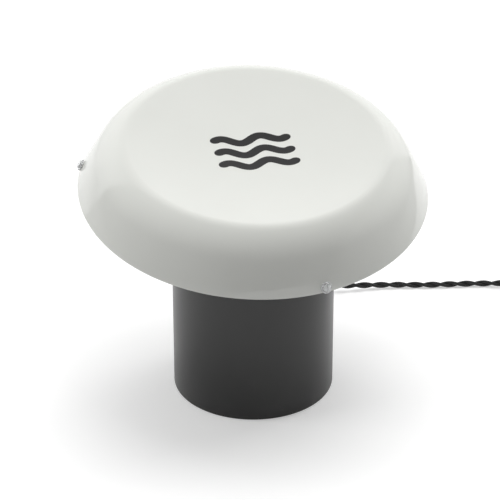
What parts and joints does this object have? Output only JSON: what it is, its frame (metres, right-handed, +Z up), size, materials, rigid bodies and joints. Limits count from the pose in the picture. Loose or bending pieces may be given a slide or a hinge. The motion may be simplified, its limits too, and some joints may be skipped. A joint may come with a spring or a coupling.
{
  "type": "table lamp",
  "caption": "Table lamp with a wide white dish shade that tilts on a dark cylindrical base, and a twisted fabric cord with a rocker switch and a flat plug.",
  "frame": {"origin": "middle of the underside of the felt, on the surface that the lamp stands on", "axes": "+Z up along the base, -Y towards the side that the shade leans to, X along the tilt axis"},
  "size_m": [0.5472, 0.2958, 0.2574],
  "materials": {
    "shade_enamel": "gloss enamel on sheet steel, off-white",
    "base_paint": "matt powder coat, dark grey",
    "carrier_paint": "satin white paint",
    "steel": "zinc plated",
    "iron": "rough cast",
    "brass": "plain",
    "nickel": "nickel plated",
    "black_plastic": "fine grain",
    "white_plastic": "plain",
    "black_rubber": "satin",
    "fibre": "pressed fibre",
    "felt": "wool felt",
    "cord_fabric": "braided cotton",
    "tie_fabric": "woven tape",
    "clear_acrylic": "clear acrylic",
    "opal_glass": "opal"
  },
  "bodies": {
    "base": {"base_tube": "base_paint", "felt_pad": "felt", "bottom_plate": "steel", "base_lugs": "base_paint", "base_screws": "steel", "ballast": "iron", "ballast_bolt": "steel", "top_plate": "base_paint", "top_lugs": "base_paint", "top_screws": "steel", "cord_gland": "black_rubber", "gland_nut": "black_plastic", "inner_lead": "cord_fabric", "cord_clamp": "white_plastic", "clamp_screws": "steel", "terminal_block": "white_plastic", "terminal_screws": "brass", "holder_wires": "black_rubber", "lampholder_body": "black_plastic", "lampholder_ring": "black_plastic", "lampholder_cap": "black_plastic", "socket_shell": "brass", "centre_contact": "brass", "bulb_globe": "opal_glass", "bulb_cap": "nickel", "bulb_contact": "black_plastic", "hinge_brackets": "steel", "bracket_screws": "steel", "friction_washers": "fibre", "spring_washers": "steel", "cord_run": "cord_fabric", "switch_base": "black_plastic", "switch_cover": "black_plastic", "rocker_pin": "steel", "switch_contacts": "brass", "switch_screws": "steel", "cord_link": "cord_fabric", "cord_coil": "cord_fabric", "coil_tie": "tie_fabric", "cord_tail": "cord_fabric", "plug_relief": "black_rubber", "plug_body": "black_plastic", "plug_pins": "nickel", "pin_sleeves": "black_plastic"},
    "shade": {"shade": "shade_enamel", "shade_carrier": "carrier_paint", "pivot_screws": "steel", "pivot_nuts": "steel", "shade_screws": "white_plastic", "shade_washers": "white_plastic", "screw_caps": "clear_acrylic"},
    "rocker": {"switch_rocker": "black_plastic"}
  },
  "joints": [
    {"name": "shade_tilt", "type": "hinge", "parent": "base", "child": "shade", "pos_m": [0, 0, 0.193], "axis": [1, 0, 0], "range_deg": [-30, 10]},
    {"name": "switch_rocker", "type": "hinge", "parent": "base", "child": "rocker", "pos_m": [0.313, 0.094, 0.0148], "axis": [0, 1, 0], "range_deg": [-16, 0]}
  ]
}
